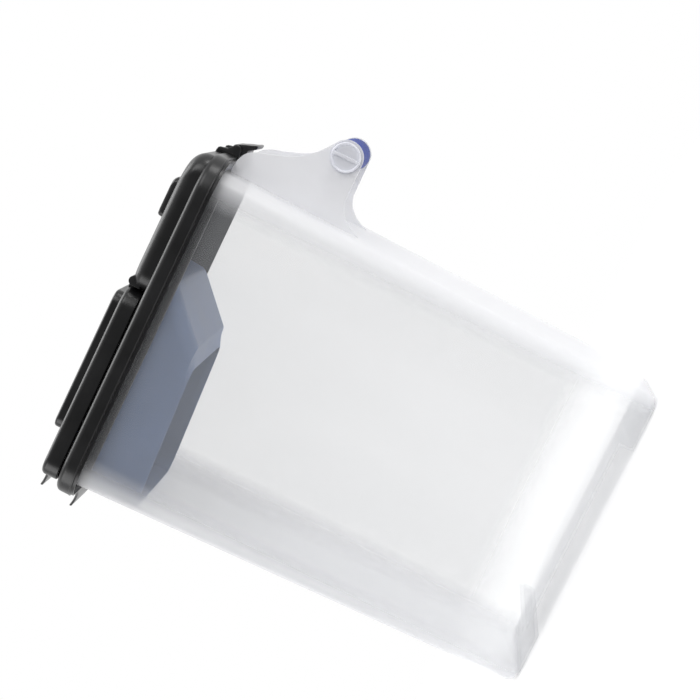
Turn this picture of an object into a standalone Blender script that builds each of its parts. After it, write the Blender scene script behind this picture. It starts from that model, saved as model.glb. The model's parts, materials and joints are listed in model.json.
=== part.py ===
"""Pet food bin: a tall tapered tub with a carrying grip at its back, a lift-off lid with a
hinged pouring flap at its front, a pouring chute under the lid and a latch at its back.

Frame: +Z up, -Y is the pouring side, +Y the handle side, feet on z = 0. Metres.
Inside the script y is counted from the middle of the tub; the empty "bin_origin" then moves
everything so that the middle of the whole outline comes to y = 0.
"""
import math

import bmesh
import bpy
from mathutils import Vector

# ---------------------------------------------------------------- driving dimensions
TUB_HALF_W = 0.1075          # half width (X) of the tub at its rim
TUB_HALF_D = 0.1565          # half depth (Y) of the tub at its rim
TUB_DRAFT = 0.0115           # how much narrower each side is at the floor
TUB_TOP = 0.4410             # height of the tub's rim
TUB_CORNER = 0.0240          # radius of the upright corners
WALL = 0.0022                # tub wall
EDGE_RADIUS = 0.0100         # rounding of the tub's lower edge
FOOT_HEIGHT = 0.0135         # height of the two feet
CHANNEL_Y = (-0.0940, 0.0930)  # cross channel between the feet
RIM_FLANGE = 0.0045          # how far the rim bead stands out

LID_Z = 0.4300               # lower edge of the lid's skirt
LID_TOP = 0.4475             # flat top of the rim band
LID_OVERHANG = 0.0115        # lid skirt outside the tub wall
LID_WALL = 0.0030
DECK_TOP = 0.4635            # raised rear half of the lid
DECK_Y = (0.0300, 0.1655)
DECK_HALF_W = 0.1090
DECK_CORNER = 0.0200

GRIP_Y = 0.2126              # centre of the carrying grip
GRIP_Z = 0.3424
GRIP_RADIUS = 0.0150
GRIP_BORE = 0.0092           # bore of the stiff core tube inside the sleeve
GRIP_CORE = 0.0122           # outer radius of that core tube
CHEEK_RADIUS = 0.0160        # round end of each cheek
CHEEK_X = (0.0550, 0.0585)   # inner and outer face of a cheek
CHEEK_Z = (0.3000, 0.4300)   # foot of a cheek along the tub's back wall
CAP_RADIUS = 0.0137
CAP_DEPTH = 0.0034           # how far a cap stands out from its cheek
CAP_STUB_X = 0.0400          # inner end of a cap's stub, inside the grip's core
RIB_HALF = 0.0014            # half thickness of the finger rib on a cap

FLAP_HINGE = (0.0355, 0.4620)  # y, z of the flap's hinge line
FLAP_BARREL = 0.0045
FLAP_Z = (0.4497, 0.4655)    # lower edge and top face of the flap
FLAP_Y = (-0.1590, 0.0285)
FLAP_HALF_W = 0.1070
FLAP_CORNER = 0.0180
FLAP_WALL = 0.0026
PAD_TOP = 0.4745             # raised pad on the flap
PAD_Y = (-0.1180, 0.0195)
PAD_HALF_W = 0.0880
PAD_CORNER = 0.0120

LATCH_HINGE = (0.1735, 0.4365)  # y, z of the latch's pin
LATCH_HALF_W = 0.0250
LATCH_BARREL = 0.0042
LUG_X = (0.0254, 0.0305)     # inner and outer face of a latch lug
LUG_RADIUS = 0.0046

CHUTE_HALF_W = 0.1017
CHUTE_Y = (-0.1507, 0.0500)
CHUTE_VERTEX = (0.0030, 0.3830)  # y, z where the sloped back meets the lower edge
CHUTE_FRONT_Z = 0.3742
CHUTE_WALL = 0.0022
CHUTE_CORNER = 0.0196

OPENING_Y = (-0.1400, 0.0130)  # pouring opening in the lid
OPENING_HALF_W = 0.0820

RIM_TAB = (-0.1665, 0.4303, -0.1915, 0.4340)   # root y, z and tip y, z of the lid's front tab
FLAP_TAB = (-0.1575, 0.4630, -0.1856, 0.4665)  # the same for the flap's front tab
TAB_ROOT_HALF_W = 0.0650
TAB_TIP_HALF_W = 0.0345
TAB_THICK = 0.0025

KNUCKLE_MID_X = 0.0315       # half width of the middle knuckle of the flap's hinge
KNUCKLE_END_X = (0.0890, 0.0999)
BARREL_X = (0.0320, 0.0885)  # the flap's two hinge barrels
FLAP_ROD_X = 0.0985          # half length of the hinge rod
PLUG_INSET = 0.0033          # plug ring inside the tub's outline
PLUG_Z = 0.4240
COLLAR_TOP = 0.4515          # raised collar round the pouring opening
SEAL_Z = (0.4518, 0.4553)    # flap gasket
RIB_Z = (0.4556, 0.4640)     # rib under the flap that holds the gasket down

PIN_RADIUS = 0.0018
PIN_SIDES = 12
RUNNING = 0.0001             # radial running clearance of the hinge pins
GAP = 0.0003                 # gap between pieces that rest on each other
CORNER_STEPS = 6
ARC_STEPS = 20

BIN_SHIFT_Y = -0.5 * (GRIP_Y + CHEEK_RADIUS + RIM_TAB[2])

COLOURS = {
    "milky_plastic": ((0.80, 0.79, 0.78), 0.38),
    "black_plastic": ((0.030, 0.031, 0.034), 0.42),
    "smoky_plastic": ((0.060, 0.080, 0.130), 0.40),
    "blue_rubber": ((0.045, 0.150, 0.620), 0.50),
    "grey_seal": ((0.34, 0.35, 0.36), 0.65),
    "steel": ((0.62, 0.62, 0.63), 0.30),
}


# ---------------------------------------------------------------- helpers
def clear_scene():
    for old in list(bpy.data.objects):
        bpy.data.objects.remove(old, do_unlink=True)


def material(slot):
    mat = bpy.data.materials.get(slot)
    if mat is None:
        colour, roughness = COLOURS[slot]
        mat = bpy.data.materials.new(slot)
        mat.use_nodes = True
        shader = mat.node_tree.nodes["Principled BSDF"]
        shader.inputs["Base Color"].default_value = (*colour, 1.0)
        shader.inputs["Roughness"].default_value = roughness
        shader.inputs["Metallic"].default_value = 1.0 if slot == "steel" else 0.0
        mat.diffuse_color = (*colour, 1.0)
    return mat


def finish(name, bm, slot, pivot=(0.0, 0.0, 0.0)):
    """Turn a bmesh into a named object whose origin is at pivot, under the bin's empty."""
    bmesh.ops.recalc_face_normals(bm, faces=bm.faces)
    bmesh.ops.translate(bm, verts=bm.verts, vec=-Vector(pivot))
    mesh = bpy.data.meshes.new(name)
    bm.to_mesh(mesh)
    bm.free()
    mesh.shade_smooth()
    mesh.set_sharp_from_angle(angle=math.radians(35))
    obj = bpy.data.objects.new(name, mesh)
    bpy.context.scene.collection.objects.link(obj)
    obj.location = pivot
    obj.parent = bpy.data.objects["bin_origin"]
    if slot:
        mesh.materials.append(material(slot))
    return obj


def ring(half_w, y_front, y_back, z, corner, tilt=0.0):
    """Points of a rounded rectangle at height z; tilt is how much higher its back edge is."""
    points = []
    centres = (
        (half_w - corner, y_back - corner, 0.0),
        (-half_w + corner, y_back - corner, 90.0),
        (-half_w + corner, y_front + corner, 180.0),
        (half_w - corner, y_front + corner, 270.0),
    )
    for cx, cy, start in centres:
        for step in range(CORNER_STEPS + 1):
            angle = math.radians(start + 90.0 * step / CORNER_STEPS)
            x = cx + corner * math.cos(angle)
            y = cy + corner * math.sin(angle)
            points.append((x, y, z + tilt * (y - y_front) / (y_back - y_front)))
    return points


def loft(rings, closed=False):
    """Skin a list of rings; the two ends are capped, or joined to each other if closed."""
    bm = bmesh.new()
    rows = [[bm.verts.new(p) for p in points] for points in rings]
    count = len(rows[0])
    pairs = list(zip(rows, rows[1:]))
    if closed:
        pairs.append((rows[-1], rows[0]))
    else:
        bm.faces.new(rows[0])
        bm.faces.new(rows[-1])
    for low, high in pairs:
        for i in range(count):
            j = (i + 1) % count
            bm.faces.new((low[i], low[j], high[j], high[i]))
    return bm


def box(x, y, z):
    """Box between the low and high values in each of x, y and z."""
    bm = bmesh.new()
    bmesh.ops.create_cube(bm, size=1.0)
    for vert in bm.verts:
        for axis, (low, high) in enumerate((x, y, z)):
            vert.co[axis] = low if vert.co[axis] < 0 else high
    return bm


def prism(outline, x_low, x_high):
    """Extrude a closed outline of (y, z) points along X."""
    bm = bmesh.new()
    face = bm.faces.new([bm.verts.new((x_low, y, z)) for y, z in outline])
    made = bmesh.ops.extrude_face_region(bm, geom=[face])
    moved = [v for v in made["geom"] if isinstance(v, bmesh.types.BMVert)]
    bmesh.ops.translate(bm, verts=moved, vec=(x_high - x_low, 0.0, 0.0))
    return bm


def arc(centre, radius, start, end, steps):
    """(y, z) points along an arc, angles in degrees from +Y towards +Z."""
    points = []
    for step in range(steps + 1):
        angle = math.radians(start + (end - start) * step / steps)
        points.append((centre[0] + radius * math.cos(angle), centre[1] + radius * math.sin(angle)))
    return points


def rod(centre, radius, x_low, x_high, steps=ARC_STEPS):
    """Round bar along X."""
    outline = arc(centre, radius, 0.0, 360.0 * (steps - 1) / steps, steps - 1)
    return prism(outline, x_low, x_high)


def turned(centre, profile, solid=False):
    """Profile of (x, radius) points turned about a line along X.

    The profile is a closed loop and makes a ring, or with solid its two ends are capped.
    """
    bm = bmesh.new()
    rows = []
    for x, radius in profile:
        circle = arc(centre, radius, 0.0, 360.0 * (ARC_STEPS - 1) / ARC_STEPS, ARC_STEPS - 1)
        rows.append([bm.verts.new((x, y, z)) for y, z in circle])
    pairs = list(zip(rows, rows[1:]))
    if solid:
        bm.faces.new(rows[0])
        bm.faces.new(rows[-1])
    else:
        pairs.append((rows[-1], rows[0]))
    for low, high in pairs:
        for i in range(ARC_STEPS):
            j = (i + 1) % ARC_STEPS
            bm.faces.new((low[i], low[j], high[j], high[i]))
    return bm


def apply_boolean(target, bm, operation, label):
    """Add a Boolean modifier to target, fed by a hidden wire object made from bm."""
    tool = finish(target.name + "_" + label, bm, None)
    tool.display_type = "WIRE"
    tool.hide_render = True
    modifier = target.modifiers.new(label, "BOOLEAN")
    modifier.operation = operation
    modifier.solver = "EXACT"
    modifier.object = tool


def cut(target, bm, label):
    apply_boolean(target, bm, "DIFFERENCE", label)


def join(target, bm, label):
    apply_boolean(target, bm, "UNION", label)


def inset_ring(half_w, y_pair, z, corner, inset):
    """Rounded rectangle moved inwards all round by inset."""
    radius = max(corner - inset, 0.002)
    return ring(half_w - inset, y_pair[0] + inset, y_pair[1] - inset, z, radius)


# ---------------------------------------------------------------- container
def tub_ring(z, offset=0.0):
    """Section of the tub at height z, its outline moved outwards by offset."""
    shrink = TUB_DRAFT * (1.0 - z / TUB_TOP)
    half_w = TUB_HALF_W - shrink + offset
    half_d = TUB_HALF_D - shrink + offset
    return ring(half_w, -half_d, half_d, z, max(TUB_CORNER - 0.3 * shrink + offset, 0.004))


def tub_solid(offset, z_low, z_top, edge_radius):
    """Tapered block with a rounded lower edge, offset from the tub's outline."""
    rings = []
    for step in range(5):
        angle = math.radians(90.0 * step / 4)
        inward = edge_radius * (1.0 - math.sin(angle))
        z = z_low + edge_radius * (1.0 - math.cos(angle))
        rings.append(tub_ring(z, offset - inward))
    rings.append(tub_ring(z_top, offset))
    return rings


def floor_fill_rings():
    """Block across the tub's floor that stays inside the walls and their rounded lower edge."""
    half_wall = 0.5 * WALL
    radius = EDGE_RADIUS - half_wall
    heights = [half_wall + radius * (1.0 - math.cos(math.radians(90.0 * step / 4))) for step in range(5)]
    inward = [radius * (1.0 - math.sin(math.radians(90.0 * step / 4))) for step in range(5)]
    heights.append(FOOT_HEIGHT + WALL)
    inward.append(0.0)
    rings = []
    for z, inset in zip(heights, inward):
        half_w = TUB_HALF_W - TUB_DRAFT * (1.0 - z / TUB_TOP) - half_wall - inset
        rings.append(ring(half_w, CHANNEL_Y[0] - WALL, CHANNEL_Y[1] + WALL, z, 0.0004))
    return rings


def wall_back(z):
    """y of the tub's back wall, outer face, at height z."""
    return TUB_HALF_D - TUB_DRAFT * (1.0 - z / TUB_TOP)


def cheek_outline():
    """Side view of a cheek: long foot along the tub's back wall, round end about the grip."""
    low, high = CHEEK_Z
    lower_edge = [(wall_back(low) + GAP, low), (0.1560, 0.3085), (0.1600, 0.3155), (0.1670, 0.3225),
                  (0.1760, 0.3264)]
    round_end = arc((GRIP_Y, GRIP_Z), CHEEK_RADIUS, -90.0, 50.0, 10)
    upper_edge = [(0.2150, 0.3603), (0.2080, 0.3660), (0.2020, 0.3718), (0.1968, 0.3784),
                  (0.1929, 0.3852), (0.1898, 0.3928), (0.1860, 0.4035), (0.1823, 0.4155),
                  (0.1770, 0.4240), (0.1690, 0.4285), (0.1600, high), (wall_back(high) + GAP, high)]
    return lower_edge + round_end + upper_edge


def make_cheek(side):
    """Plate behind the tub that carries one end of the grip."""
    faces = sorted(side * x for x in CHEEK_X)
    name = "handle_cheek_" + ("left" if side < 0 else "right")
    cheek = finish(name, prism(cheek_outline(), *faces), "milky_plastic")
    cut(cheek, rod((GRIP_Y, GRIP_Z), GRIP_BORE, faces[0] - 0.001, faces[1] + 0.001), "bore")


def make_container():
    rings = tub_solid(0.0, 0.0, 0.4330, EDGE_RADIUS)
    rings += [tub_ring(0.4345, 0.0030), tub_ring(0.4365, RIM_FLANGE), tub_ring(0.4398, RIM_FLANGE),
              tub_ring(TUB_TOP, RIM_FLANGE - 0.0012), tub_ring(TUB_TOP, -WALL)]
    rings += tub_solid(-WALL, WALL, 0.4300, EDGE_RADIUS - WALL)[::-1]
    body = finish("container_body", loft(rings), "milky_plastic")
    # raised floor between the hollow feet: fill the channel, then cut it out one wall lower
    join(body, loft(floor_fill_rings()), "raised_floor")
    wide = 2.0 * TUB_HALF_W
    cut(body, box((-wide, wide), CHANNEL_Y, (-0.02, FOOT_HEIGHT)), "channel")


def make_grip():
    """Soft blue sleeve, and the stiff tube inside it that turns on the caps' stubs."""
    half = CHEEK_X[0] - 0.0005
    edge = 0.0012
    bore = GRIP_CORE + GAP
    sleeve = [(-half, bore), (-half, GRIP_RADIUS - edge), (-half + edge, GRIP_RADIUS),
              (half - edge, GRIP_RADIUS), (half, GRIP_RADIUS - edge), (half, bore)]
    core = [(-half, GRIP_BORE), (-half, GRIP_CORE), (half, GRIP_CORE), (half, GRIP_BORE)]
    centre = (GRIP_Y, GRIP_Z)
    finish("handle_grip", turned(centre, sleeve), "blue_rubber", (0.0, *centre))
    finish("handle_core", turned(centre, core), "milky_plastic", (0.0, *centre))


def make_grip_cap(side):
    """Plug in a cheek's bore: dished face with an upright finger rib, stub inside the grip."""
    outer = CHEEK_X[1] + GAP
    rim_x = outer + CAP_DEPTH
    floor_x = outer + 0.0010
    stub = GRIP_BORE - RUNNING
    edge = 0.0006
    dish = CAP_RADIUS - 0.0016
    profile = [(CAP_STUB_X, stub - 0.0025), (CAP_STUB_X, stub - 0.0008), (CAP_STUB_X + 0.0008, stub),
               (outer, stub), (outer, CAP_RADIUS), (rim_x - edge, CAP_RADIUS),
               (rim_x, CAP_RADIUS - edge), (rim_x, dish), (floor_x, dish)]
    mirrored = [(side * x, radius) for x, radius in profile]
    name = "grip_cap_" + ("left" if side < 0 else "right")
    cap = finish(name, turned((GRIP_Y, GRIP_Z), mirrored, solid=True), "milky_plastic")
    faces = sorted((side * (outer + 0.0005), side * (rim_x - 0.0004)))
    reach = dish + 0.0006
    rib = box(faces, (GRIP_Y - RIB_HALF, GRIP_Y + RIB_HALF), (GRIP_Z - reach, GRIP_Z + reach))
    join(cap, rib, "rib")


# ---------------------------------------------------------------- lid
def lid_outline(z, inset):
    """Section of the lid's rim band, moved inwards by inset."""
    half_w = TUB_HALF_W + LID_OVERHANG
    half_d = TUB_HALF_D + LID_OVERHANG
    corner = TUB_CORNER + LID_OVERHANG
    return inset_ring(half_w, (-half_d, half_d), z, corner, inset)


def deck_rings():
    """Raised rear deck: steep front, long rounded slope at the back, rounded sides."""
    profile = [  # height, inset of the sides, of the back and of the front
        (0.4440, 0.0, 0.0, 0.0),
        (0.4520, 0.0, 0.0008, 0.0006),
        (0.4570, 0.0012, 0.0048, 0.0012),
        (0.4608, 0.0036, 0.0108, 0.0022),
        (DECK_TOP, 0.0085, 0.0200, 0.0045),
    ]
    return [ring(DECK_HALF_W - side, DECK_Y[0] + front, DECK_Y[1] - back, z, DECK_CORNER)
            for z, side, back, front in profile]


def make_lid():
    rings = [lid_outline(LID_Z, 0.0010), lid_outline(LID_Z + 0.0010, 0.0), lid_outline(0.4415, 0.0),
             lid_outline(0.4442, 0.0008), lid_outline(0.4462, 0.0026), lid_outline(LID_TOP, 0.0056)]
    lid = finish("lid_frame", loft(rings), "black_plastic")
    join(lid, loft(deck_rings()), "deck")
    finger_block = [ring(0.0450, 0.0900, 0.1310, DECK_TOP - 0.002, 0.006),
                    ring(0.0440, 0.0905, 0.1290, 0.4735, 0.006),
                    ring(0.0425, 0.0920, 0.1240, 0.4755, 0.006)]
    join(lid, loft(finger_block), "finger_block")
    collar = [inset_ring(OPENING_HALF_W, OPENING_Y, z, 0.016, -LID_WALL)
              for z in (LID_TOP - LID_WALL, COLLAR_TOP)]
    join(lid, loft(collar), "collar")
    # hollow underside, and the hollow of the deck above it
    underside = LID_TOP - LID_WALL
    cut(lid, loft([lid_outline(LID_Z - 0.01, LID_WALL), lid_outline(underside, LID_WALL)]), "hollow")
    deck_hollow = [ring(DECK_HALF_W - 0.004, DECK_Y[0] + 0.0145, DECK_Y[1] - 0.0035, 0.4400, 0.017),
                   ring(DECK_HALF_W - 0.004, DECK_Y[0] + 0.0145, DECK_Y[1] - 0.0045, 0.4510, 0.017),
                   ring(DECK_HALF_W - 0.007, DECK_Y[0] + 0.0145, DECK_Y[1] - 0.0130, 0.4580, 0.017),
                   ring(DECK_HALF_W - 0.012, DECK_Y[0] + 0.0145, DECK_Y[1] - 0.0210, 0.4610, 0.017)]
    cut(lid, loft(deck_hollow), "deck_hollow")
    opening = [ring(OPENING_HALF_W, *OPENING_Y, z, 0.016) for z in (0.4380, 0.4600)]
    cut(lid, loft(opening), "pour_opening")
    # plug ring that goes down inside the tub's mouth
    plug_w = TUB_HALF_W - PLUG_INSET
    plug_d = TUB_HALF_D - PLUG_INSET
    plug_top = underside + 0.0005
    levels = ((0.0006, PLUG_Z), (0.0, PLUG_Z + 0.0010), (0.0, plug_top), (WALL, plug_top), (WALL, PLUG_Z))
    plug = [inset_ring(plug_w, (-plug_d, plug_d), z, 0.0215, inset) for inset, z in levels]
    join(lid, loft(plug, closed=True), "plug_ring")
    add_flap_seat(lid)
    add_latch_seat(lid)
    join(lid, front_tab(RIM_TAB), "rim_tab")


def add_flap_seat(lid):
    """Trough and three knuckles for the flap's hinge along the deck's front edge."""
    y, z = FLAP_HINGE
    end = KNUCKLE_END_X[1]
    trough = box((GAP - end, end - GAP), (DECK_Y[0] - 0.0100, y + 0.0060), (z - 0.0060, z + 0.02))
    cut(lid, trough, "hinge_trough")
    outline = [(y - 0.0045, z - 0.0075), (y + 0.0070, z - 0.0075), (y + 0.0070, z)]
    outline += arc((y, z), FLAP_BARREL, 30.0, 180.0, 8)
    join(lid, prism(outline, -KNUCKLE_MID_X, KNUCKLE_MID_X), "knuckle_mid")
    join(lid, prism(outline, -KNUCKLE_END_X[1], -KNUCKLE_END_X[0]), "knuckle_left")
    join(lid, prism(outline, *KNUCKLE_END_X), "knuckle_right")
    # the bore is blind at its right end and open at its left end, where the rod goes in
    bore = rod((y, z), PIN_RADIUS + RUNNING, -0.2, FLAP_ROD_X + GAP, PIN_SIDES)
    cut(lid, bore, "hinge_bore")


def add_latch_seat(lid):
    """Bridge on the rim's back edge and the two lugs that hold the latch pin."""
    y, z = LATCH_HINGE
    bridge = [(0.1560, 0.4455), (0.1660, 0.4455), (0.1668, 0.4400), (0.1684, 0.4425),
              (0.1680, 0.4515), (0.1664, 0.4528), (0.1600, 0.4532), (0.1560, 0.4532)]
    join(lid, prism(bridge, -LUG_X[1], LUG_X[1]), "latch_bridge")
    lug = [(0.1665, z - 0.0055), (y - 0.0010, z - LUG_RADIUS)]
    lug += arc((y, z), LUG_RADIUS, -75.0, 60.0, 7)
    lug += [(0.1718, 0.4440), (0.1704, 0.4505), (0.1690, 0.4526), (0.1660, 0.4526), (0.1660, 0.4440)]
    join(lid, prism(lug, -LUG_X[1], -LUG_X[0]), "lug_left")
    join(lid, prism(lug, *LUG_X), "lug_right")
    bore = rod((y, z), PIN_RADIUS + RUNNING, -LUG_X[1] - 0.0045, LUG_X[1] - 0.0006, PIN_SIDES)
    cut(lid, bore, "latch_bore")


def front_tab(place):
    """Thin finger tab, wide at its root, narrower and a little upturned at its tip."""
    root_y, root_z, tip_y, tip_z = place
    steps = 6
    lower = []
    upper = []
    bm = bmesh.new()
    for step in range(steps + 1):
        t = step / steps
        y = root_y + (tip_y - root_y) * t
        z = root_z + (tip_z - root_z) * t * t
        half = TAB_TIP_HALF_W + (TAB_ROOT_HALF_W - TAB_TIP_HALF_W) * (1.0 - t) ** 1.6
        thick = TAB_THICK * (1.0 - 0.2 * t)
        lower.append([bm.verts.new((x, y, z)) for x in (-half, half)])
        upper.append([bm.verts.new((x, y, z + thick)) for x in (-half, half)])
    for i in range(steps):
        bm.faces.new((lower[i][0], lower[i][1], lower[i + 1][1], lower[i + 1][0]))
        bm.faces.new((upper[i][0], upper[i][1], upper[i + 1][1], upper[i + 1][0]))
        for side in (0, 1):
            bm.faces.new((lower[i][side], lower[i + 1][side], upper[i + 1][side], upper[i][side]))
    for end in (0, steps):
        bm.faces.new((lower[end][0], lower[end][1], upper[end][1], upper[end][0]))
    return bm


def make_lid_gasket():
    inner = TUB_HALF_W - 0.0025
    outer = TUB_HALF_W + 0.0035
    deep = TUB_HALF_D - TUB_HALF_W
    low = TUB_TOP + GAP
    high = LID_TOP - LID_WALL - GAP
    sections = ((inner, low, 0.0215), (outer, low, 0.0275), (outer, high, 0.0275), (inner, high, 0.0215))
    rings = [ring(half, -half - deep, half + deep, z, corner) for half, z, corner in sections]
    finish("lid_gasket", loft(rings, closed=True), "grey_seal")


def make_chute():
    """Open funnel frame inside the mouth: straight sides and front, sloped back."""
    vertex_y, vertex_z = CHUTE_VERTEX
    front, back = CHUTE_Y
    # (y of the back, z at the front, rise from front to back) down the funnel
    levels = [(back, LID_TOP - LID_WALL - GAP, 0.0), (back - 0.0015, 0.4265, 0.0),
              (vertex_y, vertex_z, 0.0), (vertex_y - 0.0150, CHUTE_FRONT_Z, 0.0070)]
    outer = []
    inner = []
    for y_back, z, tilt in levels:
        outer.append(ring(CHUTE_HALF_W, front, y_back, z, CHUTE_CORNER, tilt))
        inner.append(ring(CHUTE_HALF_W - CHUTE_WALL, front + CHUTE_WALL, y_back - 1.3 * CHUTE_WALL,
                          z, CHUTE_CORNER - CHUTE_WALL, tilt))
    finish("pour_chute", loft(outer + inner[::-1], closed=True), "smoky_plastic")


def make_pins():
    flap_rod = rod(FLAP_HINGE, PIN_RADIUS, -FLAP_ROD_X, FLAP_ROD_X, PIN_SIDES)
    finish("flap_hinge_rod", flap_rod, "steel")
    latch_pin = rod(LATCH_HINGE, PIN_RADIUS, GAP - LUG_X[1], LUG_X[1] - 0.0009, PIN_SIDES)
    finish("latch_pin", latch_pin, "steel")


# ---------------------------------------------------------------- flap
def flap_outline(z, inset):
    return inset_ring(FLAP_HALF_W, FLAP_Y, z, FLAP_CORNER, inset)


def pad_outline(z, inset):
    return inset_ring(PAD_HALF_W, PAD_Y, z, PAD_CORNER, inset)


def around_opening(z, margin, inset):
    """Rounded rectangle that goes round the pouring opening, margin outside it."""
    y_pair = (OPENING_Y[0] - margin, OPENING_Y[1] + margin)
    return inset_ring(OPENING_HALF_W + margin, y_pair, z, 0.0160 + margin, inset)


def make_flap():
    low, top = FLAP_Z
    shell = [flap_outline(low, 0.0006), flap_outline(low + 0.0010, 0.0), flap_outline(top - 0.0050, 0.0),
             flap_outline(top - 0.0020, 0.0008), flap_outline(top - 0.0005, 0.0026),
             flap_outline(top, 0.0045)]
    flap = finish("pour_flap", loft(shell), "black_plastic", (0.0, *FLAP_HINGE))
    pad = [pad_outline(top - 0.0020, 0.0), pad_outline(PAD_TOP - 0.0020, 0.0004),
           pad_outline(PAD_TOP - 0.0006, 0.0012), pad_outline(PAD_TOP, 0.0026)]
    join(flap, loft(pad), "pad")
    hollow = [flap_outline(z, FLAP_WALL) for z in (low - 0.0050, top - FLAP_WALL)]
    cut(flap, loft(hollow), "hollow")
    pad_hollow = [pad_outline(z, FLAP_WALL) for z in (top - 0.0040, PAD_TOP - FLAP_WALL)]
    cut(flap, loft(pad_hollow), "pad_hollow")
    bottom, roof = RIB_Z
    seal_rib = [around_opening(z, 0.0035, inset) for inset, z in (
        (0.0, bottom), (0.0, roof), (WALL, roof), (WALL, bottom))]
    join(flap, loft(seal_rib, closed=True), "seal_rib")
    y, z = FLAP_HINGE
    back = FLAP_Y[1]
    barrel = [(back - 0.0015, z - 0.0020), (y - 0.0035, z - 0.0028)]
    barrel += arc((y, z), FLAP_BARREL, -135.0, 90.0, 10)
    barrel += [(y - 0.0020, top + 0.0009), (back - 0.0040, top - 0.0006), (back - 0.0050, top - 0.0020)]
    join(flap, prism(barrel, -BARREL_X[1], -BARREL_X[0]), "barrel_left")
    join(flap, prism(barrel, *BARREL_X), "barrel_right")
    join(flap, front_tab(FLAP_TAB), "flap_tab")
    cut(flap, rod((y, z), PIN_RADIUS + RUNNING, -0.2, 0.2, PIN_SIDES), "barrel_bore")


def make_flap_gasket():
    low, high = SEAL_Z
    rings = [around_opening(z, 0.0040, inset) for inset, z in (
        (0.0, low), (0.0, high), (0.0034, high), (0.0034, low))]
    finish("flap_gasket", loft(rings, closed=True), "grey_seal", (0.0, *FLAP_HINGE))


# ---------------------------------------------------------------- latch
def make_latch():
    """Lever on its barrel: short heel above, flared finger lip below, nose under the tub's bead."""
    barrel = arc(LATCH_HINGE, LATCH_BARREL, 180.0, 105.0, 5)
    outer_face = [(0.1745, 0.4411), (0.1765, 0.4406), (0.1778, 0.4392), (0.1791, 0.4358),
                  (0.1812, 0.4310), (0.1828, 0.4262), (0.1846, 0.4222), (0.1848, 0.4205)]
    inner_face = [(0.1832, 0.4200), (0.1812, 0.4208), (0.1795, 0.4232), (0.1778, 0.4258),
                  (0.1762, 0.4270)]
    nose = [(0.1720, 0.4263), (0.1660, 0.4250), (0.1630, 0.4252), (0.1620, 0.4266),
            (0.1624, 0.4284), (0.1680, 0.4289), (0.1700, 0.4300), (0.1703, 0.4335)]
    outline = barrel + outer_face + inner_face + nose
    latch = finish("rear_latch", prism(outline, -LATCH_HALF_W, LATCH_HALF_W), "black_plastic",
                   (0.0, *LATCH_HINGE))
    cut(latch, rod(LATCH_HINGE, PIN_RADIUS + RUNNING, -0.05, 0.05, PIN_SIDES), "bore")


# ---------------------------------------------------------------- assembly
def main():
    clear_scene()
    origin = bpy.data.objects.new("bin_origin", None)
    bpy.context.scene.collection.objects.link(origin)
    origin.location = (0.0, BIN_SHIFT_Y, 0.0)
    make_container()
    make_grip()
    for side in (-1, 1):
        make_cheek(side)
        make_grip_cap(side)
    make_lid()
    make_lid_gasket()
    make_chute()
    make_pins()
    make_flap()
    make_flap_gasket()
    make_latch()
    bpy.context.view_layer.update()


main()
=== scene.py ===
"""Looks of the pet food bin: finely shaped mouldings and their materials round the CAD frame."""
import json
import math

import bmesh
import bpy
from mathutils import Matrix, Vector


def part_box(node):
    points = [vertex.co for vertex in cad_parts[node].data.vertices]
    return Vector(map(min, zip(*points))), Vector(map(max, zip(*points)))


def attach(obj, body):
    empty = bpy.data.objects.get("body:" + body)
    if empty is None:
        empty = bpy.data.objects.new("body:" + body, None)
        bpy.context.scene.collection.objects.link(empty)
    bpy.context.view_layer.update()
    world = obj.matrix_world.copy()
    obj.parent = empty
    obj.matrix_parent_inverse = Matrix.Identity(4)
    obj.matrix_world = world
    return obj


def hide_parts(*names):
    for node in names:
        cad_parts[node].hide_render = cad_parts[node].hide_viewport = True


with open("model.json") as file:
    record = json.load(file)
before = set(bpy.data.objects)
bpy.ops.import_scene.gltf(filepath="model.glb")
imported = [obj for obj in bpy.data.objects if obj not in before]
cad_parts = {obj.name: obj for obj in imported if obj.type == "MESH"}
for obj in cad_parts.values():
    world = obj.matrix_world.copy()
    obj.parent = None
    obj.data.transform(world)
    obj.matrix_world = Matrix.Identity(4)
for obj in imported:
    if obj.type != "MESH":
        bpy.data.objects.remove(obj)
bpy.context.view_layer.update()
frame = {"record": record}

# ---------------------------------------------------------------- places read from the frame
TUB_LOW, TUB_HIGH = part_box("container_body")
LID_LOW, LID_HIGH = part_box("lid_frame")
FLAP_LOW, FLAP_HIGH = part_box("pour_flap")
CHUTE_LOW, CHUTE_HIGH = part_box("pour_chute")
GRIP_LOW, GRIP_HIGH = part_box("handle_grip")
CHEEK_LOW, CHEEK_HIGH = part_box("handle_cheek_right")
CAP_LOW, CAP_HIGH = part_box("grip_cap_right")
LATCH_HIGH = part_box("rear_latch")[1]
JOINTS = {joint["name"]: joint for joint in frame["record"]["behaviour"]["joints"]}

RIM_FLANGE = 0.0045
WALL = 0.0022
GAP = 0.0003
MID_Y = 0.5 * (TUB_LOW.y + TUB_HIGH.y)      # middle plane of the tub, front to back
TUB_HALF_W = TUB_HIGH.x - RIM_FLANGE
TUB_HALF_D = 0.5 * (TUB_HIGH.y - TUB_LOW.y) - RIM_FLANGE
TUB_TOP = TUB_HIGH.z
TUB_DRAFT = 0.0115
TUB_CORNER = 0.0240
EDGE_RADIUS = 0.0100
FOOT_HEIGHT = 0.0135
CHANNEL = (MID_Y - 0.0940, MID_Y + 0.0930)

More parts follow.
